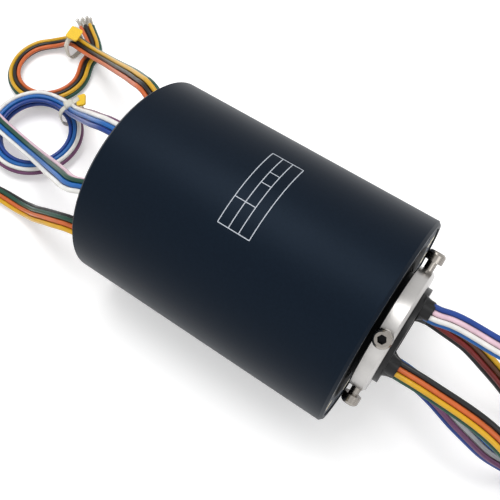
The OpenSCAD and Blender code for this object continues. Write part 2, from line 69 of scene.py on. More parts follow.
# Name, place, what it looks at, size in metres and power in watts
LAMPS = (("key_lamp", (-0.22, 0.1, 0.78), (-0.03, 0, 0), 0.42, 3.4),
         ("collar_lamp", (0.5, -0.25, 0.45), (0, 0, 0), 0.3, 0.6),
         ("fill_lamp", (-0.1, -0.7, 0.25), (-0.06, 0, 0), 0.5, 0.35))
ROOM_LIGHT = 0.72
# What the floor adds for the rays that show the background
FLOOR_LIFT = 0.26
FLOOR_GAP = 0.05 * MM
CAMERA_PLACE = (0.012871, -0.105825, 0.242908)
CAMERA_RIGHT = np.array([0.82402, 0.56656, 0.0])
CAMERA_UP = np.array([-0.50382, 0.73276, 0.45743])
CAMERA_BACK = np.cross(CAMERA_RIGHT, CAMERA_UP)


def linear(hex_colour):
    """The linear RGBA of an sRGB hex colour: the standard curve, undone channel by channel."""
    parts = np.array([int(hex_colour[i:i + 2], 16) for i in (1, 3, 5)]) / 255
    flat = np.where(parts <= 0.04045, parts / 12.92, ((parts + 0.055) / 1.055) ** 2.4)
    return (*flat.tolist(), 1.0)


# ---- the routes of the leads, in millimetres: the part's own, the rear ones moved by up to 5 ----

# Turn of each bundle's exit, from +Z towards -Y, then its place along X and its radius
FRONT_TURNS = (-22, 68, 158, -112)
FRONT_EXIT = (13.6, 16.4)
REAR_TURNS = (-40, 5, 50, 95)
REAR_EXIT = (-117, 32.2)
FRONT_ROUTES = (
    ((22, 8, 15), (30, 8.5, 14.5), (39, 8.6, 14.2), (48, 10.2, 13), (56, 13.5, 10.5), (63, 17, 6),
     (69, 19.5, -1), (74, 20.5, -10), (79, 20, -19), (84, 18.5, -26.5), (90, 17, -31), (96, 16, -32)),
    ((22, -15.2, 6.5), (31, -15.3, 6.2), (40, -15.4, 5.6), (49, -15.8, 4.2), (57, -16.5, 1),
     (64, -17, -4.5), (70, -16.5, -12), (76, -14.5, -20), (82, -11, -26.5), (88, -7, -30.5),
     (94, -3.5, -32), (100, -2, -32)),
    ((22, -7, -15), (31, -9, -15), (40, -12, -15), (48, -13, -18), (56, -13, -23), (64, -11, -29),
     (72, -8, -35), (80, -5, -38), (88, -3, -38.5), (96, -2, -38.5)),
    ((22, 15, -7), (31, 15, -9), (40, 14, -13), (49, 14, -20), (58, 14, -28), (66, 15, -35),
     (74, 16, -38), (82, 16, -38.5), (91, 16, -38.5)),
)
REAR_ROUTES = (
    ((-126.4, 23.8, 25.2), (-134.7, 27.6, 20), (-144.2, 32.6, 12.5), (-154.8, 37.9, 3.8),
     (-165.7, 43.6, -5.7), (-176.8, 49.3, -15.1), (-187.6, 54.3, -23.4), (-197.5, 58.5, -30.3),
     (-206.3, 60.7, -33.5), (-215, 61.1, -33.5), (-223.1, 59.9, -38)),
    ((-123.9, -2.9, 31.5), (-130.1, -1.5, 27.2), (-137.9, 1.7, 19.7), (-146.8, 6, 10.1),
     (-155.9, 10.6, -0.3), (-165.4, 15.4, -11), (-174.3, 19.6, -20.4), (-181.9, 23.1, -27.4),
     (-186.3, 24.3, -29.8), (-191, 25.1, -31.9), (-195.9, 26, -34)),
    ((-125.1, -26, 18.3), (-134.5, -23.6, 13), (-143.6, -20.4, 5.6), (-153.1, -16.8, -3),
     (-163.3, -12.9, -12.3), (-174.4, -9.2, -20.7), (-184.4, -6.4, -26.3), (-193.8, -4.7, -28),
     (-203.7, -3, -28.9), (-214, -0.8, -29.4), (-226, 2, -33), (-236, 3, -37), (-246.1, 3, -38.5)),
    ((-126, -33, -3.8), (-135, -33.6, -8), (-144, -33, -15), (-153, -32, -23), (-162, -30, -32),
     (-172, -29, -38), (-182, -29, -39), (-194, -30, -39), (-208, -30, -38.5)),
)
# Each neck of potting, in mm: its length, how far behind the bundle's exit it starts, its half
# widths at the tip, what its flare adds at the base, and the most that the rear end has room for
NECK_LENGTH = 4.4
NECK_DEPTH = 4.3
NECK_TIP = (3.75, 2.25)
NECK_FLARE = (1.35, 1.2)
NECK_REAR_ROOM = (3.9, 3.4)
# The end of the first rear bundle, past its loop
REAR_TAIL = ((-204, 57.5, -39.6), (-205, 63.5, -40), (-210, 69.5, -40), (-216, 73.5, -40), (-221.6, 77, -40))
# Each coil, in which the leads lie flat in a band: middle, outermost radius, first angle, way round
# and height, then how far it winds inwards in a turn, or sinks, how it tilts and its number of turns
COILS = {
    ("rear", 0): dict(middle=(-217, 42), radius=18.5, start=125, way=1, height=-39.5, turns=0.76),
    ("rear", 1): dict(middle=(-193, 6), radius=20, start=116, way=1, height=-36.5, tilt=7, sink=1.9),
    ("rear", 2): dict(middle=(-248, -16), radius=20.2, start=100, way=1, height=-40, inwards=7.4),
    ("rear", 3): dict(middle=(-212, -49), radius=20.6, start=95, way=1, height=-40, inwards=7.2, turns=1.9),
    ("front", 0): dict(middle=(94, 34), radius=20.4, start=-68, way=1, height=-36.1, inwards=7.4),
    ("front", 3): dict(middle=(94, 34), radius=21.5, start=-85, way=1, height=-40, inwards=7.4, turns=2),
    ("front", 1): dict(middle=(99.2, -20), radius=20.4, start=74, way=-1, height=-36.1, inwards=7.4),
    ("front", 2): dict(middle=(99.2, -20), radius=21.5, start=88, way=-1, height=-40, inwards=7.4, turns=2),
}
COIL_TILT_AXIS = (0.83, 0.55, 0)
USUAL_TURNS = 1.7
POINTS_A_TURN = 16
# Leads of each bundle, from its upper edge to its lower one as they leave
BUNDLE_COLOURS = {
    ("front", 0): ("navy", "grey", "pink", "purple", "white", "light_blue"),
    ("front", 1): ("black", "brown", "orange", "red", "yellow", "green"),
    ("front", 2): ("light_blue", "white", "grey", "pink", "purple", "navy"),
    ("front", 3): ("yellow", "green", "brown", "orange", "red", "black"),
    ("rear", 0): ("green", "yellow", "red", "black", "brown", "orange"),
    ("rear", 1): ("purple", "white", "grey", "light_blue", "pink", "navy"),
    ("rear", 2): ("pink", "green", "navy", "light_blue", "purple", "white"),
    ("rear", 3): ("black", "green", "brown", "orange", "red", "yellow"),
}
# Places across a bundle, in lead diameters: two staggered rows of three
ACROSS = np.array([1.32, 0.80, 0.28, -0.24, -0.77, -1.30])
DEEP = np.array([0.44, -0.44, 0.44, -0.44, 0.44, -0.44])
# A bundle faces the room above at this share of its free part, and lies in its coil this far past it
FACING_SHARE = 0.45
COIL_ENTRY = 12 * MM
# How much a bundle's leads spread towards their ends, the first rear one's more, and between which lengths
USUAL_FAN, TAIL_FAN = 0.05, 0.75
FAN_SPAN = (0.245, 0.3)
# The leads' ends are cut unevenly by this much
CUT_SPREAD = 3 * MM
# Tinned strands: radius of one, of the circle that they start on, and how far they fan out
STRAND_R = 0.2 * MM
STRAND_RING = 0.42 * MM
STRAND_FAN = 0.55 * MM
LEAD_COLOURS = {
    "black": "#0f0f11", "brown": "#4f2c18", "red": "#701a18", "orange": "#c4602c",
    "yellow": "#cf9f1c", "green": "#0f4434", "navy": "#123a86", "light_blue": "#155fa8",
    "purple": "#683c60", "grey": "#9a9da0", "white": "#e2e1dd", "pink": "#dcbcc8",
}


def colour_prop(name, description, hex_colour):
    """A colour setting whose default is an sRGB hex value."""
    return FloatVectorProperty(name=name, description=description, subtype="COLOR", size=4,
                               min=0, max=1, default=linear(hex_colour))


class SlipRingSizes(bpy.types.PropertyGroup):
    """Sizes of the leads and of the details on the ring."""
    lead_d: FloatProperty(name="Lead diameter", description="Diameter of one lead over its insulation",
                          default=2 * MM, min=0.8 * MM, max=2.4 * MM, unit="LENGTH")
    front_length: FloatProperty(name="Front lead length", description="Real length of each rotor lead",
                                default=0.25, min=0.2, max=0.3, unit="LENGTH")
    rear_length: FloatProperty(name="Rear lead length", description="Real length of each stator lead",
                               default=0.28, min=0.25, max=0.34, unit="LENGTH")
    strip_length: FloatProperty(name="Stripped length", description="Bare tinned strands at a lead's end",
                                default=6 * MM, min=3 * MM, max=10 * MM, unit="LENGTH")
    path_step: FloatProperty(name="Path step", description="Distance between points along a lead",
                             default=5 * MM, min=2 * MM, max=8 * MM, unit="LENGTH")
    label_line: FloatProperty(name="Label line", description="Width of a printed label line",
                              default=0.32 * MM, min=0.2 * MM, max=1 * MM, unit="LENGTH")
    tie_wall: FloatProperty(name="Tie strap", description="Thickness of a cable tie's strap",
                            default=0.8 * MM, min=0.6 * MM, max=1.2 * MM, unit="LENGTH")
    strands: IntProperty(name="Strands", description="Tinned strands that show at each bare end",
                         default=7, min=3, max=12)


class SlipRingColours(bpy.types.PropertyGroup):
    """Colours of the ring's main finishes, in linear light."""
    housing: colour_prop("Housing", "Blue-black anodising of the housing tube", "#0d151f")
    caps: colour_prop("Caps", "Dark anodising of the end caps", "#343a43")
    collar: colour_prop("Collar", "Satin nickel of the clamp collar", "#b8b6b4")
    screws: colour_prop("Screws", "Bright steel of the clamp screws", "#97928c")
    potting: colour_prop("Potting", "Black epoxy at the leads' exits", "#08090b")
    label: colour_prop("Label lines", "Pale grey of the printed label lines", "#aeb4bc")
    floor: colour_prop("Floor", "Pale floor under the ring", "#f7f7f7")


def sizes():
    """The size settings of this scene."""
    return bpy.context.scene.slip_ring_sizes


def colours():
    """The colour settings of this scene."""
    return bpy.context.scene.slip_ring_colours


# ---- paths ----

def smooth_line(points, step):
    """Points a step apart on a smooth line through the given ones.

    Formula: between two points the line is the cubic Hermite blend of both, whose slopes are the
    central differences over the distances along the line; it is then sampled at equal lengths.
    """
    points = np.asarray(points, float)
    gaps = np.maximum(np.linalg.norm(np.diff(points, axis=0), axis=1), 1e-9)
    at = np.concatenate([[0], np.cumsum(gaps)])
    slopes = np.gradient(points, at, axis=0)
    t = np.linspace(0, at[-1], max(60, int(at[-1] / (0.1 * step))))
    k = np.clip(np.searchsorted(at, t, side="right") - 1, 0, len(gaps) - 1)
    h = gaps[k][:, None]
    u = (t - at[k])[:, None] / h
    fine = (points[k] * (1 + 2 * u) * (1 - u) ** 2 + slopes[k] * h * u * (1 - u) ** 2
            + points[k + 1] * u ** 2 * (3 - 2 * u) + slopes[k + 1] * h * u ** 2 * (u - 1))
    run = np.concatenate([[0], np.cumsum(np.linalg.norm(np.diff(fine, axis=0), axis=1))])
    places = np.linspace(0, run[-1], max(2, int(round(run[-1] / step)) + 1))
    return np.stack([np.interp(places, run, fine[:, i]) for i in range(3)], 1)


def headings(path):
    """Unit directions along a path: its central differences, made one unit long."""
    way = np.gradient(path, axis=0)
    return way / np.linalg.norm(way, axis=1, keepdims=True)


def carried_sides(path, side):
    """Side vectors square to a path that turn with it as little as they can.

    Formula: each side is the one before it, less its part along the path's new direction.
    """
    ways = headings(path)
    found = np.empty_like(path)
    for i, way in enumerate(ways):
        side = side - way * side.dot(way)
        side = side / np.linalg.norm(side)
        found[i] = side
    return ways, found


def smooth_step(x, low, high):
    """0 below low, 1 above high, and a smooth cubic between."""
    u = np.clip((np.asarray(x, float) - low) / (high - low), 0, 1)
    return u * u * (3 - 2 * u)


def at_turn(x, r, turn):
    """The point at radius r and a turn from +Z towards -Y around the X axis."""
    a = math.radians(turn)
    return np.array([x, -r * math.sin(a), r * math.cos(a)])


def coil_points(coil, turns):
    """Points round a coil, in millimetres.

    Formula: a spiral about the coil's middle, whose radius falls evenly by one band a turn; or a
    circle that sinks by two rows of leads as it closes. It is then turned about the tilt axis.
    """
    passed = np.arange(0, turns + 1e-6, 1 / POINTS_A_TURN)
    angle = math.radians(coil["start"]) + coil["way"] * 2 * math.pi * passed
    radius = coil["radius"] - coil.get("inwards", 0) * passed
    sink = coil.get("sink", 0)
    flat = np.stack([radius * np.cos(angle), radius * np.sin(angle),
                     sink * (1 - 2 * smooth_step(passed, 0.5, 0.95))], 1)
    tilt = Matrix.Rotation(math.radians(coil.get("tilt", 0)), 3, COIL_TILT_AXIS)
    return flat @ np.array(tilt).T + np.array([*coil["middle"], coil["height"]])


def bundle_path(end, index):
    """The middle line of a bundle and its coil, in metres, and the length of its part before the coil."""
    turns, place = (FRONT_TURNS, FRONT_EXIT) if end == "front" else (REAR_TURNS, REAR_EXIT)
    routes = FRONT_ROUTES if end == "front" else REAR_ROUTES
    exit_point = at_turn(*place, turns[index])
    inside = exit_point - (3, 0, 0) if end == "front" else exit_point + (3, 0, 0)
    coil = COILS[(end, index)]
    winding = coil_points(coil, coil.get("turns", USUAL_TURNS))
    tail = np.array(REAR_TAIL) if (end, index) == ("rear", 0) else np.empty((0, 3))
    route = np.vstack([inside, exit_point, routes[index]])
    line = smooth_line(np.vstack([route, winding, tail]) * MM, 1 * MM)
    before = np.linalg.norm(np.diff(route, axis=0), axis=1).sum() * MM
    return exit_point * MM, line, before


def lead_lines(end, index, length, diameter):
    """The six lines of a bundle's leads, each a stated length, in metres.

    Formula: each lead runs beside the bundle's middle line, at its own place across it in two
    staggered rows. The rows face the room above while the bundle falls, then turn to lie flat or
    in the coil, and the leads spread a little towards their ends.
    """
    exit_point, line, before = bundle_path(end, index)
    coil = COILS[(end, index)]
    run = np.concatenate([[0], np.cumsum(np.linalg.norm(np.diff(line, axis=0), axis=1))])
    outwards = 1 if end == "front" else -1
    start_side = outwards * np.cross(CAMERA_BACK, headings(line)[0])
    ways, sides = carried_sides(line, start_side)
    middle = int(np.searchsorted(run, FACING_SHARE * before))
    entry = int(np.searchsorted(run, before + COIL_ENTRY))
    wanted_mid = outwards * np.cross(CAMERA_BACK, ways[middle])
    wanted_entry = line[entry] - np.array([*coil["middle"], coil["height"]]) * MM

    def twist_to(i, wanted):
        return math.atan2(wanted.dot(np.cross(ways[i], sides[i])), wanted.dot(sides[i]))

    twist_mid = twist_to(middle, wanted_mid)
    turned = sides[entry] * math.cos(twist_mid) + np.cross(ways[entry], sides[entry]) * math.sin(twist_mid)
    flip = 1 if turned.dot(wanted_entry) >= 0 else -1
    twist_entry = twist_to(entry, flip * wanted_entry)
    change = (twist_entry - twist_mid + math.pi) % (2 * math.pi) - math.pi
    twist = (twist_mid + change * smooth_step(run, 0.5 * before, before + 4 * MM))[:, None]
    ups = np.cross(ways, sides)
    across = sides * np.cos(twist) + ups * np.sin(twist)
    deep = np.cross(ways, across)
    lines = []
    for k in range(6):
        loose = 1 + 0.05 * np.sin(run * 55 + 1.3 * k) * smooth_step(run, 0.01, 0.04)
        fan = 1 + (TAIL_FAN if (end, index) == ("rear", 0) else USUAL_FAN) * smooth_step(run, *FAN_SPAN)
        own = (line + across * (ACROSS[k] * diameter * loose * fan)[:, None]
               + deep * (DEEP[k] * diameter * loose)[:, None])
        own[:, 2] = np.maximum(own[:, 2], FLOOR_Z + diameter / 2 + FLOOR_GAP)
        own_run = np.concatenate([[0], np.cumsum(np.linalg.norm(np.diff(own, axis=0), axis=1))])
        want = length + CUT_SPREAD * math.sin(2.1 * k + index)
        places = np.linspace(0, min(want, own_run[-1]), int(want / sizes().path_step) + 1)
        lines.append(np.stack([np.interp(places, own_run, own[:, i]) for i in range(3)], 1))
    return exit_point, lines


# ---- meshes ----

def mesh_piece(name, verts, faces, material, body, slot, smooth=True):
    """A mesh object at the origin from arrays of points and faces, with its finish and body."""
    mesh = bpy.data.meshes.new(name)
    mesh.from_pydata(np.asarray(verts, float), [], faces)
    mesh.validate()
    mesh.update()
    mesh.polygons.foreach_set("use_smooth", [smooth] * len(mesh.polygons))
    mesh.materials.append(material)
    piece = bpy.data.objects.new(name, mesh)
    bpy.context.scene.collection.objects.link(piece)
    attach(piece, body)
    return piece


def grid_faces(rows, columns, first=0, closed=True):
    """Quads of a grid of rows by columns of points; closed joins the last column to the first."""
    r, c = np.meshgrid(np.arange(rows - 1), np.arange(columns if closed else columns - 1), indexing="ij")
    a = r * columns + c
    b = r * columns + (c + 1) % columns
    return (np.stack([a, b, b + columns, a + columns], -1).reshape(-1, 4) + first).tolist()


def section_along(path, side, section):
    """A closed section carried along a path, with flat ends.

    Formula: point (i, j) is path i plus the section's two coordinates j along the path's side and
    up vectors. section is (n, 2), or (m, n, 2) to change along the path's m points.
    """
    ways, sides = carried_sides(path, side)
    ups = np.cross(ways, sides)
    section = np.broadcast_to(section, (len(path), *np.shape(section)[-2:]))
    grid = path[:, None] + sides[:, None] * section[..., :1] + ups[:, None] * section[..., 1:]
    rows, columns = grid.shape[:2]
    faces = grid_faces(rows, columns)
    faces += [list(range(columns))[::-1], [(rows - 1) * columns + k for k in range(columns)]]
    return grid.reshape(-1, 3), faces


def joined(parts):
    """Several (points, faces) as one."""
    verts, faces, count = [], [], 0
    for points, quads in parts:
        verts.append(points)
        faces += [[i + count for i in f] for f in quads]
        count += len(points)
    return np.vstack(verts), faces


def round_section(radius, sides):
    """A circle of that radius as points of a section."""
    a = np.arange(sides) * 2 * math.pi / sides
    return np.stack([np.cos(a), np.sin(a)], 1) * radius


def rounded_box_section(width, height, radius, steps=3):
    """A rectangle with round corners: a quarter circle of steps + 1 points at each corner."""
    a = (np.arange(4)[:, None] * math.pi / 2 + np.linspace(0, math.pi / 2, steps + 1)).ravel()
    corner = np.array([[1, 1], [-1, 1], [-1, -1], [1, -1]]).repeat(steps + 1, 0)
    return corner * (np.array([width, height]) / 2 - radius) + np.stack([np.cos(a), np.sin(a)], 1) * radius


# ---- materials ----

def add_node(tree, kind, settings=None, links=None):
    """Adds one node, sets its properties and input values, and links inputs to other outputs."""
    node = tree.nodes.new(kind)
    for key, value in (settings or {}).items():
        if isinstance(key, str) and hasattr(node, key):
            setattr(node, key, value)
        else:
            node.inputs[key].default_value = value
    for key, source in (links or {}).items():
        tree.links.new(source, node.inputs[key])
    return node


def new_material(name):
    """A node material with its Principled shader and Object coordinates, and nothing else yet."""
    material = bpy.data.materials.new(name)
    material.use_nodes = True
    tree = material.node_tree
    tree.nodes.clear()
    shader = tree.nodes.new("ShaderNodeBsdfPrincipled")
    output = tree.nodes.new("ShaderNodeOutputMaterial")
    tree.links.new(shader.outputs["BSDF"], output.inputs["Surface"])
    place = tree.nodes.new("ShaderNodeTexCoord").outputs["Object"]
    return material, tree, shader, place


def parts_of(material):
    """The node tree of a finish, its Principled shader and its Object coordinates."""
    tree = material.node_tree
    shader = next(n for n in tree.nodes if n.type == "BSDF_PRINCIPLED")
    place = next(n for n in tree.nodes if n.type == "TEX_COORD").outputs["Object"]
    return tree, shader, place


def overlay(tree, shader, factor, hex_colour, where_zero):
    """Puts a colour over the base colour, where a factor is 0 or where it is 1."""
    base = shader.inputs["Base Color"].links[0].from_socket
    plain, from_base = (6, 7) if where_zero else (7, 6)
    mixed = add_node(tree, "ShaderNodeMix", {"data_type": "RGBA", plain: linear(hex_colour)},
                     {0: factor, from_base: base})
    tree.links.new(mixed.outputs[2], shader.inputs["Base Color"])


def per_mm(size_mm):
    """A texture scale at which one feature takes that many millimetres in Object coordinates."""
    return 1 / (size_mm * MM)


def varied(tree, place, base, size_mm, amount, detail=3.0):
    """A base colour that noise of a real size darkens and lightens by an amount."""
    noise = add_node(tree, "ShaderNodeTexNoise", {"Scale": per_mm(size_mm), "Detail": detail},
                     {"Vector": place})
    low = tuple(max(0, c * (1 - amount)) for c in base[:3]) + (1,)
    high = tuple(min(1, c * (1 + amount)) for c in base[:3]) + (1,)
    ramp = add_node(tree, "ShaderNodeValToRGB", None, {"Fac": noise.outputs["Fac"]})
    ramp.color_ramp.elements[0].position, ramp.color_ramp.elements[0].color = 0.3, low
    ramp.color_ramp.elements[1].position, ramp.color_ramp.elements[1].color = 0.7, high
    return ramp.outputs["Color"], noise.outputs["Fac"]


def roughness_from(tree, shader, factor, low, high):
    """Roughness that runs from low to high with a pattern."""
    spread = add_node(tree, "ShaderNodeMapRange", {"To Min": low, "To Max": high}, {"Value": factor})
    tree.links.new(spread.outputs["Result"], shader.inputs["Roughness"])


def bump_from(tree, shader, factor, height_mm, strength=1.0):
    """Bump of a real height from a pattern."""
    bump = add_node(tree, "ShaderNodeBump", {"Strength": strength, "Distance": height_mm * MM},
                    {"Height": factor})
    tree.links.new(bump.outputs["Normal"], shader.inputs["Normal"])


def turning_lines(tree, place, pitch_mm):
    """The pattern of fine lines that a lathe leaves round the X axis.

    Formula: noise read at (distance along X, distance from the X axis), so it is the same all the
    way round; both are stretched so that one line takes the pitch.
    """
    split = add_node(tree, "ShaderNodeSeparateXYZ", None, {"Vector": place})
    flat = add_node(tree, "ShaderNodeCombineXYZ", None, {"Y": split.outputs["Y"], "Z": split.outputs["Z"]})
    length = add_node(tree, "ShaderNodeVectorMath", {"operation": "LENGTH"}, {0: flat.outputs["Vector"]})
    both = add_node(tree, "ShaderNodeCombineXYZ", None,
                    {"X": split.outputs["X"], "Y": length.outputs["Value"]})
    noise = add_node(tree, "ShaderNodeTexNoise", {"Scale": per_mm(pitch_mm), "Detail": 2.0},
                     {"Vector": both.outputs["Vector"]})
    return noise.outputs["Fac"]


def anodised(name, colour, grain_mm=0.9, low=0.38, high=0.48):
    """Anodised aluminium, fine blasted: a dyed oxide that scatters light softly, with a faint grain.

    The real grain is about 0.1 mm; it is drawn coarser so that it shows.
    """
    material, tree, shader, place = new_material(name)
    base, grain = varied(tree, place, colour, grain_mm, 0.10)
    broad = add_node(tree, "ShaderNodeTexNoise", {"Scale": per_mm(28), "Detail": 2.0}, {"Vector": place})
    tree.links.new(base, shader.inputs["Base Color"])
    shader.inputs["Specular IOR Level"].default_value = 0.1
    shader.inputs["Specular Tint"].default_value = linear("#b9d3f2")
    roughness_from(tree, shader, broad.outputs["Fac"], low, high)
    bump_from(tree, shader, grain, 0.02, 0.35)
    return material


def turned_metal(name, colour, low, high, pitch_mm=0.35, height_mm=0.006):
    """Metal turned on a lathe: round lines that stretch highlights across them."""
    material, tree, shader, place = new_material(name)
    lines = turning_lines(tree, place, pitch_mm)
    base, _ = varied(tree, place, colour, 6, 0.04)
    tree.links.new(base, shader.inputs["Base Color"])
    shader.inputs["Metallic"].default_value = 1.0
    roughness_from(tree, shader, lines, low, high)
    bump_from(tree, shader, lines, height_mm, 0.5)
    return material


def clamp_nickel(name, colour, ring_x):
    """Satin nickel of the collar, whose boss behind the ring gets black painted shade and takes little light.
    """
    material = turned_metal(name, colour, 0.24, 0.36, 0.3, 0.004)
    tree, shader, place = parts_of(material)
    split = add_node(tree, "ShaderNodeSeparateXYZ", None, {"Vector": place})
    # The boss, before the ring along X, gets painted shade: black, not metal and with little gloss
    ring = add_node(tree, "ShaderNodeMath", {"operation": "GREATER_THAN", 1: ring_x}, {0: split.outputs["X"]})
    tree.links.new(ring.outputs[0], shader.inputs["Metallic"])
    gloss = add_node(tree, "ShaderNodeMapRange", {"To Min": 0.05, "To Max": 0.5}, {"Value": ring.outputs[0]})
    tree.links.new(gloss.outputs["Result"], shader.inputs["Specular IOR Level"])
    overlay(tree, shader, ring.outputs[0], "#08090a", True)
    return material


def anodised_cap(name, colour, shade_r):
    """Turned and dyed end cap: its inner zone, under the clamp collar, gets black painted shade and takes
    almost no gloss.
    """
    material = anodised(name, colour, 0.6, 0.5, 0.6)
    tree, shader, place = parts_of(material)
    # Painted shade: inside this radius the base colour turns black and the gloss nearly goes
    flat = add_node(tree, "ShaderNodeVectorMath", {"operation": "MULTIPLY", 1: (0, 1, 1)}, {0: place})
    length = add_node(tree, "ShaderNodeVectorMath", {"operation": "LENGTH"}, {0: flat.outputs["Vector"]})
    outer = add_node(tree, "ShaderNodeMapRange",
                     {"From Min": shade_r - 0.6 * MM, "From Max": shade_r + 0.6 * MM},
                     {"Value": length.outputs["Value"]})
    gloss = add_node(tree, "ShaderNodeMapRange", {"To Min": 0.02, "To Max": 0.16},
                     {"Value": outer.outputs["Result"]})
    tree.links.new(gloss.outputs["Result"], shader.inputs["Specular IOR Level"])
    overlay(tree, shader, outer.outputs["Result"], "#050607", True)
    return material


def even_finish(name, colour, size_mm, amount, rough, height_mm, strength, detail=3.0, **sockets):
    """A finish whose colour, gloss and skin vary together with one noise of a real size."""
    material, tree, shader, place = new_material(name)
    base, fine = varied(tree, place, colour, size_mm, amount, detail)
    tree.links.new(base, shader.inputs["Base Color"])
    for key, value in sockets.items():
        shader.inputs[key.replace("_", " ")].default_value = value
    roughness_from(tree, shader, fine, *rough)
    bump_from(tree, shader, fine, height_mm, strength)
    return material


def smooth_metal(name, colour, low, high, size_mm=1.5):
    """Plated, ground or pressed metal: a clean gloss with slight smears and tiny scratches."""
    return even_finish(name, colour, size_mm, 0.06, (low, high), 0.004, 0.4, Metallic=1.0)


def socket_screw(name, colour, place_x, first_turn, head_r, base_r, top_r):
    """Turned steel screws, bright from the tumbler, whose hex sockets get dark painted shade.

    Formula: turned by the first screw's angle, each screw's axis lies along Y or Z, so the larger
    of |y| and |z| is the height on the screw and the smaller is the way across it; inside the
    socket's radius, and below the top, the base colour turns dark as painted shade.
    """
    material = smooth_metal(name, colour, 0.2, 0.32)
    tree, shader, place = parts_of(material)
    turned = add_node(tree, "ShaderNodeVectorRotate",
                      {"rotation_type": "X_AXIS", "Angle": -math.radians(first_turn)}, {"Vector": place})
    split = add_node(tree, "ShaderNodeSeparateXYZ", None, {"Vector": turned.outputs["Vector"]})
    far = [add_node(tree, "ShaderNodeMath", {"operation": "ABSOLUTE"}, {0: split.outputs[k]}).outputs[0]
           for k in ("Y", "Z")]
    high, side = [add_node(tree, "ShaderNodeMath", {"operation": pick}, dict(enumerate(far)))
                  for pick in ("MAXIMUM", "MINIMUM")]
    along = add_node(tree, "ShaderNodeMath", {"operation": "SUBTRACT", 1: place_x}, {0: split.outputs["X"]})
    both = add_node(tree, "ShaderNodeCombineXYZ", None, {"X": along.outputs[0], "Y": side.outputs[0]})
    across = add_node(tree, "ShaderNodeVectorMath", {"operation": "LENGTH"}, {0: both.outputs[0]})
    inside = add_node(tree, "ShaderNodeMath", {"operation": "LESS_THAN", 1: head_r * 0.56},
                      {0: across.outputs["Value"]})
    in_head = add_node(tree, "ShaderNodeMath",
                       {"operation": "COMPARE", 1: (top_r + base_r) / 2, 2: (top_r - base_r) / 2},
                       {0: high.outputs[0]})
    # Painted shade in the sockets: 1 inside a socket's radius on a screw head
    socket_shade = add_node(tree, "ShaderNodeMath", {"operation": "MULTIPLY"},
                     {0: inside.outputs[0], 1: in_head.outputs[0]})
    overlay(tree, shader, socket_shade.outputs[0], "#1a1a1b", False)
    return material


def cast_resin(name, colour):
    """Epoxy poured and set: glossy, a little uneven, with soft dips."""
    return even_finish(name, colour, 2.2, 0.15, (0.3, 0.45), 0.08, 0.4, IOR=1.55, Specular_IOR_Level=0.28)


def moulded_plastic(name, colour, rough=(0.4, 0.55)):
    """Moulded or machined plastic: an even colour with a fine matte skin."""
    return even_finish(name, colour, 0.8, 0.06, rough, 0.01, 0.3, IOR=1.5)


def lead_insulation(name, colour):
    """Extruded PVC insulation: smooth and slightly glossy, its surface drawn in long soft waves."""
    return even_finish(name, colour, 4, 0.08, (0.26, 0.4), 0.05, 0.3, 1.0, IOR=1.53, Specular_IOR_Level=0.35)


def tie_nylon(name, colour):
    """Natural nylon 6.6: milky, waxy, with light passing a little way in."""
    return even_finish(name, colour, 1.5, 0.04, (0.35, 0.5), 0.03, 0.3, IOR=1.53, Transmission_Weight=0.25)


def printed_line(name, colour):
    """Laser-marked or printed line on the anodising: flat, matte and slightly broken up."""
    material, tree, shader, place = new_material(name)
    base, fine = varied(tree, place, colour, 0.5, 0.12)
    tree.links.new(base, shader.inputs["Base Color"])
    roughness_from(tree, shader, fine, 0.5, 0.7)
    return material


def finish_node(names, material):
    """Gives each named CAD node this material in every slot."""
    for name in names:
        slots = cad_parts[name].material_slots
        if not slots:
            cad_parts[name].data.materials.append(material)
        for one in slots:
            one.material = material


# ---- operators ----

class SLIPRING_OT_camera(bpy.types.Operator):
    """Adds the camera: it looks down on the ring from the clamp collar's side"""
    bl_idname = "slipring.camera"
    bl_label = "Camera"

    def execute(self, context):
        lens = bpy.data.cameras.new("ring_camera")
        lens.lens = 50
        lens.sensor_width = 36
        lens.clip_start = 0.01
        camera = bpy.data.objects.new("ring_camera", lens)
        turn = np.eye(4)
        turn[:3, 0], turn[:3, 1], turn[:3, 2] = CAMERA_RIGHT, CAMERA_UP, CAMERA_BACK
        turn[:3, 3] = CAMERA_PLACE
        camera.matrix_world = Matrix(turn.tolist())
        context.scene.collection.objects.link(camera)
        context.scene.camera = camera
        return {"FINISHED"}


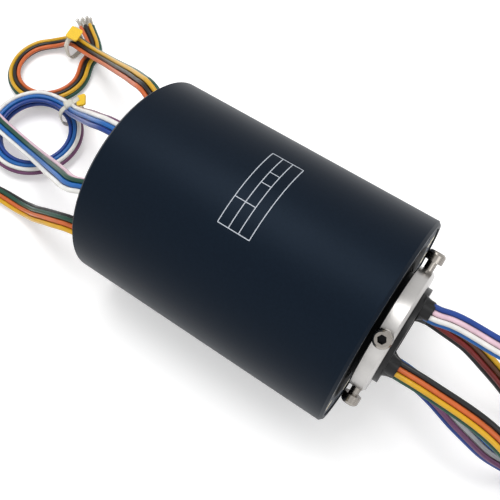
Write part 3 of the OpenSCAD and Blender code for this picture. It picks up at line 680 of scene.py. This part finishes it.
class SLIPRING_OT_leads(bpy.types.Operator):
    """Makes the 48 leads as round curves in eight bundles of six, with their tinned ends"""
    bl_idname = "slipring.leads"
    bl_label = "Leads"

    def execute(self, context):
        size = sizes()
        insulation = {n: lead_insulation("pvc_" + n, linear(h)) for n, h in LEAD_COLOURS.items()}
        tinned = smooth_metal("tinned_copper", linear("#b9b4aa"), 0.3, 0.45, 0.4)
        hidden = {
            ("front", 0): ("front_bundle_1", "front_coil_1"),
            ("front", 1): ("front_bundle_2", "front_coil_2"),
            ("front", 2): ("front_bundle_3",),
            ("front", 3): ("front_bundle_4",),
            ("rear", 0): ("rear_bundle_1", "rear_coil_1", "rear_lead_tail"),
            ("rear", 1): ("rear_bundle_2", "rear_coil_2"),
            ("rear", 2): ("rear_bundle_3", "rear_coil_3"),
            ("rear", 3): ("rear_bundle_4", "rear_coil_4"),
        }
        for (end, index), names in BUNDLE_COLOURS.items():
            body = "rotor" if end == "front" else "stator"
            length = size.front_length if end == "front" else size.rear_length
            exit_point, lines = lead_lines(end, index, length, size.lead_d)
            leads = []
            for k, (name, line) in enumerate(zip(names, lines)):
                leads.append(self.lead(f"lead_{end}_{index + 1}_{k + 1}", line, insulation[name],
                                       body, size.lead_d))
            strands = joined([s for k, line in enumerate(lines)
                              for s in self.strands(line, size, 7 * index + k)])
            tips = mesh_piece(f"tinned_ends_{end}_{index + 1}", *strands, tinned, body, "lead_insulation")
            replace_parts(leads[0], *hidden[(end, index)])
        return {"FINISHED"}

    @staticmethod
    def lead(name, line, material, body, diameter):
        """One lead: a smooth curve of one open spline, round and closed at both ends."""
        curve = bpy.data.curves.new(name, "CURVE")
        curve.dimensions = "3D"
        curve.bevel_depth = diameter / 2
        curve.bevel_resolution = 3
        curve.use_fill_caps = True
        curve.resolution_u = 4
        spline = curve.splines.new("BEZIER")
        spline.bezier_points.add(len(line) - 1)
        spline.bezier_points.foreach_set("co", line.ravel())
        slope = np.gradient(line, axis=0) / 3
        spline.bezier_points.foreach_set("handle_left", (line - slope).ravel())
        spline.bezier_points.foreach_set("handle_right", (line + slope).ravel())
        curve.materials.append(material)
        piece = bpy.data.objects.new(name, curve)
        bpy.context.scene.collection.objects.link(piece)
        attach(piece, body)
        return piece

    @staticmethod
    def strands(line, size, seed):
        """The tinned strands at a lead's end: thin rods that fan out from it as a loose twist.

        Formula: strand j starts on a small circle at the lead's end and runs on along its heading,
        while its distance from the middle grows with the square of the way and turns by half a turn.
        """
        way = line[-1] - line[-2]
        way = way / np.linalg.norm(way)
        side = np.cross(way, (0.0, 0.0, 1.0))
        side = side / max(np.linalg.norm(side), 1e-6)
        up = np.cross(side, way)
        along = np.linspace(-0.4, 1, 7)
        found = []
        for j in range(size.strands):
            angle = 2 * math.pi * j / size.strands + 0.7 * seed + 2.2 * along
            spread = STRAND_FAN * (0.4 + 0.6 * abs(math.sin(3 * j + seed)))
            out = STRAND_RING + spread * np.maximum(along, 0) ** 2
            rod = (line[-1] + way * (along * size.strip_length)[:, None]
                   + side * (out * np.cos(angle))[:, None] + up * (out * np.sin(angle))[:, None])
            rod[:, 2] = np.maximum(rod[:, 2], FLOOR_Z + STRAND_R + FLOOR_GAP)
            found.append(section_along(rod, side + 0.01, round_section(STRAND_R, 6)))
        return found


class SLIPRING_OT_ties(bpy.types.Operator):
    """Makes the cable ties with their straps and locks, and the two yellow markers"""
    bl_idname = "slipring.ties"
    bl_label = "Cable ties"

    # Name, node it replaces, body, middle, inner width and height, in mm, and turn about Z
    TIES = (
        ("tie_rear_1", "cable_tie_1", "stator", (-215, 60.5, -36.3), 10.6, 11.8, 0),
        ("tie_rear_2", "cable_tie_2", "stator", (-183, 23.6, -32.7), 11.4, 12, -26),
        ("tie_rear_3", "rear_ties", "stator", (-248, -35, -39.45), 9.6, 5.5, 0),
        ("tie_rear_4", "rear_ties", "stator", (-212, -68, -39.45), 9.6, 5.5, 0),
        ("tie_front_1", "front_ties", "rotor", (94, 52, -37.45), 9.6, 9.5, 0),
        ("tie_front_2", "front_ties", "rotor", (100, -38, -37.45), 9.6, 9.5, 0),
    )
    STRAP_WIDTH = 2.6 * MM
    STRAP_EDGE = 0.25 * MM
    LOCK = (4.4 * MM, 4.6 * MM)
    LOCK_HEIGHT = 2.5 * MM
    CUT_END = 3.4 * MM

    # Name, node it replaces, middle, width, depth, in mm, turn about Z and tilt
    TAGS = (("tag_1", "marker_tag_1", (-212.5, 60.8, -26.6), 7.6, 6.2, 12, 14),
            ("tag_2", "marker_tag_2", (-179, 28.4, -24.2), 6.4, 4.4, 40, -16))

    def execute(self, context):
        wall = sizes().tie_wall
        nylon = tie_nylon("nylon_natural", linear("#dfdcd0"))
        marker = moulded_plastic("marker_pvc", linear("#e6bc1c"), (0.35, 0.5))
        for name, node, body, middle, width, height, turn in self.TIES:
            parts = self.tie(np.array(middle) * MM, width * MM, height * MM, math.radians(turn), wall)
            piece = mesh_piece(name, *parts, nylon, body, "tie_nylon", False)
            bevel = piece.modifiers.new("soft_edges", "BEVEL")
            bevel.width = 0.12 * MM
            bevel.segments = 2
            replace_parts(piece, node)
        for name, node, place, wide, deep, turn, tilt in self.TAGS:
            parts = self.tag(np.array(place) * MM, wide * MM, deep * MM,
                             math.radians(turn), math.radians(tilt))
            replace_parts(mesh_piece(name, *parts, marker, "stator", "yellow_tag", False), node)
        return {"FINISHED"}

    @staticmethod
    def tie(middle, width, height, turn, wall):
        """A strap round a bundle, its lock on top and a short cut end.

        Formula: the strap's line is a rectangle with round corners in the plane across the bundle,
        and its section a thin rounded strip; the lock is a rounded bar that is narrower at both ends.
        """
        along = np.array([math.cos(turn), math.sin(turn), 0])
        cross = np.array([-math.sin(turn), math.cos(turn), 0])
        up = np.array([0, 0, 1.0])
        loop = rounded_box_section(width + wall, height + wall, min(width, height) * 0.42, 6)
        loop = np.vstack([loop, loop[:1]])
        path = middle + cross * loop[:, :1] + up * loop[:, 1:]
        ties = SLIPRING_OT_ties
        strip = rounded_box_section(wall, ties.STRAP_WIDTH, ties.STRAP_EDGE, 2)
        strap = section_along(path, path[0] - middle, strip)
        top = middle + up * (height / 2 + wall * 0.5)
        rise = np.linspace(0, 1, 6)
        pinch = (1 - 0.35 * smooth_step(rise, 0.7, 1))[:, None, None]
        lock = section_along(top + up * (rise * ties.LOCK_HEIGHT)[:, None], along,
                             rounded_box_section(*ties.LOCK, 0.7 * MM) * pinch)
        reach = np.linspace(0, ties.CUT_END, 5)
        lift = 0.9 * reach ** 2 / MM / 9
        end = section_along(top + up * 1.4 * MM + cross * (2 * MM + reach)[:, None] + up * lift[:, None],
                            up, strip)
        return joined([strap, lock, end])

    @staticmethod
    def tag(middle, wide, deep, turn, tilt):
        """A small marker plate, 1.1 mm thick: a rounded rectangle carried along its own normal."""
        normal = np.array([math.sin(tilt) * math.cos(turn), math.sin(tilt) * math.sin(turn), math.cos(tilt)])
        side = np.array([-math.sin(turn), math.cos(turn), 0])
        path = middle + normal * (np.linspace(-0.55, 0.55, 4) * MM)[:, None]
        return section_along(path, side, rounded_box_section(wide, deep, 0.9 * MM))


class SLIPRING_OT_boots(bpy.types.Operator):
    """Makes the flared necks of potting that each bundle comes out of"""
    bl_idname = "slipring.boots"
    bl_label = "Potting necks"

    def execute(self, context):
        resin = cast_resin("epoxy_necks", colours().potting)
        for end, turns, place in (("front", FRONT_TURNS, FRONT_EXIT), ("rear", REAR_TURNS, REAR_EXIT)):
            body = "rotor" if end == "front" else "stator"
            necks = joined([self.neck(end, index, place, turn) for index, turn in enumerate(turns)])
            mesh_piece(f"potting_necks_{end}", *necks, resin, body, "black_epoxy")
        return {"FINISHED"}

    @staticmethod
    def neck(end, index, place, turn):
        """A neck round a bundle's first millimetres.

        Formula: an oval section whose half widths fall from the base to the tip with a little more
        than the square of the way, as set resin creeps up the leads; its edge is lightly lumpy.
        """
        out = 1 if end == "front" else -1
        line = lead_lines(end, index, 0.25, sizes().lead_d)[1]
        first = np.mean([one[0] for one in line], 0)
        third = np.mean([one[3] for one in line], 0)
        widest = line[0][1] - line[5][1]
        way = (third - first) / np.linalg.norm(third - first)
        rise = np.linspace(0, 1, 9)
        base = at_turn(place[0] - out * NECK_DEPTH, place[1], turn) * MM
        path = base + way * (rise * NECK_LENGTH * MM)[:, None]
        a = np.arange(24) * 2 * math.pi / 24
        flare = (1 - rise) ** 2.2
        wide = (NECK_TIP[0] + NECK_FLARE[0] * flare)[:, None] * (1 + 0.03 * np.sin(3 * a + turn))
        thin = (NECK_TIP[1] + NECK_FLARE[1] * flare)[:, None] * (1 + 0.04 * np.sin(2 * a + turn))
        if end == "rear":
            wide, thin = np.minimum(wide, NECK_REAR_ROOM[0]), np.minimum(thin, NECK_REAR_ROOM[1])
        closing = np.where(rise < 1, 1, 0.9)[:, None]
        section = np.stack([wide * np.cos(a) * closing, thin * np.sin(a) * closing], -1) * MM
        return section_along(path, widest, section)


class SLIPRING_OT_label(bpy.types.Operator):
    """Prints the empty ruled label on the housing: lines only, with no lettering"""
    bl_idname = "slipring.label"
    bl_label = "Label lines"

    # Edges along X in mm and round the housing in degrees, then short dividers
    X_LINES = (-61.5, -57.1, -53.0, -48.6)
    TURN_SPAN = (-22.8, 23.2)
    DIVIDERS = ((-61.5, -53.0, 8.9), (-57.1, -53.0, -3.6), (-57.1, -53.0, -10.8))

    def execute(self, context):
        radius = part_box("housing_tube")[1].z + 0.02 * MM
        width = sizes().label_line
        low, high = self.TURN_SPAN
        edge = math.degrees(width / 2 / radius)
        strips = [self.strip(radius, x * MM - width / 2, x * MM + width / 2, low, high) for x in self.X_LINES]
        dividers = self.DIVIDERS + tuple((self.X_LINES[0], self.X_LINES[-1], t) for t in self.TURN_SPAN)
        strips += [self.strip(radius, x1 * MM, x2 * MM, t - edge, t + edge) for x1, x2, t in dividers]
        mesh_piece("label_lines", *joined(strips), printed_line("label_marking", colours().label),
                   "stator", "anodised_housing")
        return {"FINISHED"}

    @staticmethod
    def strip(radius, x1, x2, turn1, turn2):
        """A strip on the housing's outside.

        Formula: point (i, j) is at x i and turn j on a cylinder just outside the anodising.
        """
        x = np.linspace(x1, x2, 3)[:, None]
        turn = np.radians(np.linspace(turn1, turn2, max(2, int(abs(turn2 - turn1)) + 2)))[None]
        grid = np.stack([x + 0 * turn, -radius * np.sin(turn) + 0 * x, radius * np.cos(turn) + 0 * x], -1)
        return grid.reshape(-1, 3), grid_faces(grid.shape[0], grid.shape[1], 0, False)


class SLIPRING_OT_finishes(bpy.types.Operator):
    """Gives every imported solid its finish"""
    bl_idname = "slipring.finishes"
    bl_label = "Finishes"

    # Nodes seen little or not at all, the kind of finish, its name, colour and numbers
    INSIDE = (
        ("post_screws support_screws board_screws", smooth_metal, "zinc_plate", "#d9cfae", 0.22, 0.34),
        ("shaft_sleeve", turned_metal, "turned_aluminium", "#a6a7a9", 0.3, 0.42),
        ("support_ring", turned_metal, "machined_aluminium", "#bdbdba", 0.3, 0.45, 0.6),
        ("frame_posts", smooth_metal, "turned_steel", "#a3a3a5", 0.28, 0.4),
        ("outer_races inner_races bearing_balls", smooth_metal, "bearing_steel", "#cfcfd3", 0.1, 0.18),
        ("ball_cages", smooth_metal, "pressed_brass", "#b08a3c", 0.25, 0.4),
        ("retaining_ring", smooth_metal, "phosphated_steel", "#3c3d41", 0.4, 0.55),
        ("front_seal", moulded_plastic, "seal_rubber", "#17171a", (0.6, 0.75)),
        ("contact_rings", turned_metal, "gold_plate", "#d9ac4a", 0.14, 0.24, 0.25, 0.003),
        ("barrier_rings", moulded_plastic, "moulded_pbt", "#dcd6c2"),
        ("ring_barrel", moulded_plastic, "turned_acetal", "#232324"),
        ("brush_holders", moulded_plastic, "brown_laminate", "#4b3a2b", (0.45, 0.6)),
        ("brushes", moulded_plastic, "silver_graphite", "#55534f", (0.5, 0.7)),
        ("leaf_springs", smooth_metal, "rolled_bronze", "#c79a4c", 0.22, 0.34),
        ("terminal_boards", moulded_plastic, "solder_mask", "#1c5c3c", (0.2, 0.35)),
    )

    def execute(self, context):
        c = colours()
        finish_node(["housing_tube"], anodised("anodised_tube", c.housing))
        finish_node(["front_cap", "rear_cap"], anodised_cap("anodised_caps_painted_shade", c.caps, CAP_SHADE_R))
        finish_node(["clamp_collar"], clamp_nickel("satin_nickel_painted_shade", c.collar, COLLAR_RING_X))
        screws = [f"clamp_screw_{i}" for i in (1, 2, 3, 4)]
        finish_node(screws, socket_screw("bright_steel_painted_socket_shade", c.screws, *CLAMP_SCREWS))
        finish_node(["rotor_potting", "stator_potting"], cast_resin("black_epoxy", c.potting))
        for names, make, name, colour, *numbers in self.INSIDE:
            finish_node(names.split(), make(name, linear(colour), *numbers))
        return {"FINISHED"}


class SLIPRING_OT_stage(bpy.types.Operator):
    """Adds the pale floor, the soft lamps and the plain world"""
    bl_idname = "slipring.stage"
    bl_label = "Stage"

    def execute(self, context):
        self.floor()
        for lamp in LAMPS:
            self.lamp(*lamp)
        world = context.scene.world or bpy.data.worlds.new("pale_room")
        context.scene.world = world
        world.use_nodes = True
        tree = world.node_tree
        tree.nodes.clear()
        direct = self.background_ray(tree)
        plain, white = [add_node(tree, "ShaderNodeBackground",
                                 {"Color": linear("#ffffff"), "Strength": power})
                        for power in (ROOM_LIGHT, 1.0)]
        mixed = add_node(tree, "ShaderNodeMixShader", None,
                         {0: direct.outputs[0], 1: plain.outputs[0], 2: white.outputs[0]})
        add_node(tree, "ShaderNodeOutputWorld", None, {"Surface": mixed.outputs[0]})
        context.scene.view_settings.view_transform = "Standard"
        return {"FINISHED"}

    @staticmethod
    def background_ray(tree):
        """1 for rays that show the background: straight ones, mirrored ones and those through glass."""
        seen = add_node(tree, "ShaderNodeLightPath")
        mirrored = add_node(tree, "ShaderNodeMath", {"operation": "MAXIMUM"},
                            {0: seen.outputs["Is Camera Ray"], 1: seen.outputs["Is Glossy Ray"]})
        return add_node(tree, "ShaderNodeMath", {"operation": "MAXIMUM"},
                        {0: mirrored.outputs[0], 1: seen.outputs["Is Transmission Ray"]})

    @staticmethod
    def floor():
        """A flat disc under the ring: points on circles of growing radius."""
        rings = np.array([0.02, 0.3, 0.8, 2.0])
        a = np.arange(48) * 2 * math.pi / 48
        grid = np.stack([np.outer(rings, np.cos(a)) - 0.07, np.outer(rings, np.sin(a)),
                         np.full((4, 48), FLOOR_Z - FLOOR_GAP)], -1).reshape(-1, 3)
        mesh = bpy.data.meshes.new("floor")
        mesh.from_pydata(grid, [], grid_faces(4, 48) + [list(range(48))[::-1]])
        mesh.update()
        material, tree, shader, place = new_material("matte_floor")
        base, _ = varied(tree, place, colours().floor, 60, 0.005)
        tree.links.new(base, shader.inputs["Base Color"])
        shader.inputs["Roughness"].default_value = 0.9
        shader.inputs["Specular IOR Level"].default_value = 0.1
        direct = SLIPRING_OT_stage.background_ray(tree)
        lift = add_node(tree, "ShaderNodeMath", {"operation": "MULTIPLY", 1: FLOOR_LIFT},
                        {0: direct.outputs[0]})
        shader.inputs["Emission Color"].default_value = linear("#ffffff")
        tree.links.new(lift.outputs[0], shader.inputs["Emission Strength"])
        mesh.materials.append(material)
        floor = bpy.data.objects.new("floor", mesh)
        bpy.context.scene.collection.objects.link(floor)

    @staticmethod
    def lamp(name, place, aim, size, power):
        """A square area lamp that looks at a point."""
        light = bpy.data.lights.new(name, "AREA")
        light.size = size
        light.energy = power
        lamp = bpy.data.objects.new(name, light)
        back = np.array(place, float) - aim
        back /= np.linalg.norm(back)
        right = np.cross((0, 0, 1.0), back)
        right /= np.linalg.norm(right)
        turn = np.eye(4)
        turn[:3, 0], turn[:3, 1], turn[:3, 2], turn[:3, 3] = right, np.cross(back, right), back, place
        lamp.matrix_world = Matrix(turn.tolist())
        bpy.context.scene.collection.objects.link(lamp)


class SLIPRING_PT_panel(bpy.types.Panel):
    """Lists the slip ring's steps and settings"""
    bl_idname = "SLIPRING_PT_panel"
    bl_label = "Slip Ring"
    bl_space_type = "VIEW_3D"
    bl_region_type = "UI"
    bl_category = "Slip Ring"

    def draw(self, context):
        for step in STEPS:
            self.layout.operator("slipring." + step)
        for group in (context.scene.slip_ring_sizes, context.scene.slip_ring_colours):
            column = self.layout.column(align=True)
            for key in group.bl_rna.properties.keys():
                if key not in ("rna_type", "name"):
                    column.prop(group, key)


STEPS = ("camera", "leads", "ties", "boots", "label", "finishes", "stage")
CLASSES = (SlipRingSizes, SlipRingColours, SLIPRING_OT_camera, SLIPRING_OT_leads, SLIPRING_OT_ties,
           SLIPRING_OT_boots, SLIPRING_OT_label, SLIPRING_OT_finishes, SLIPRING_OT_stage, SLIPRING_PT_panel)


def register():
    """Registers the classes and hangs the settings on the scene."""
    for one in CLASSES:
        bpy.utils.register_class(one)
    bpy.types.Scene.slip_ring_sizes = PointerProperty(type=SlipRingSizes)
    bpy.types.Scene.slip_ring_colours = PointerProperty(type=SlipRingColours)


def unregister():
    """Undoes register."""
    del bpy.types.Scene.slip_ring_colours
    del bpy.types.Scene.slip_ring_sizes
    for one in reversed(CLASSES):
        bpy.utils.unregister_class(one)


def main():
    register()
    for step in STEPS:
        getattr(bpy.ops.slipring, step)()


if __name__ == "__main__":
    main()
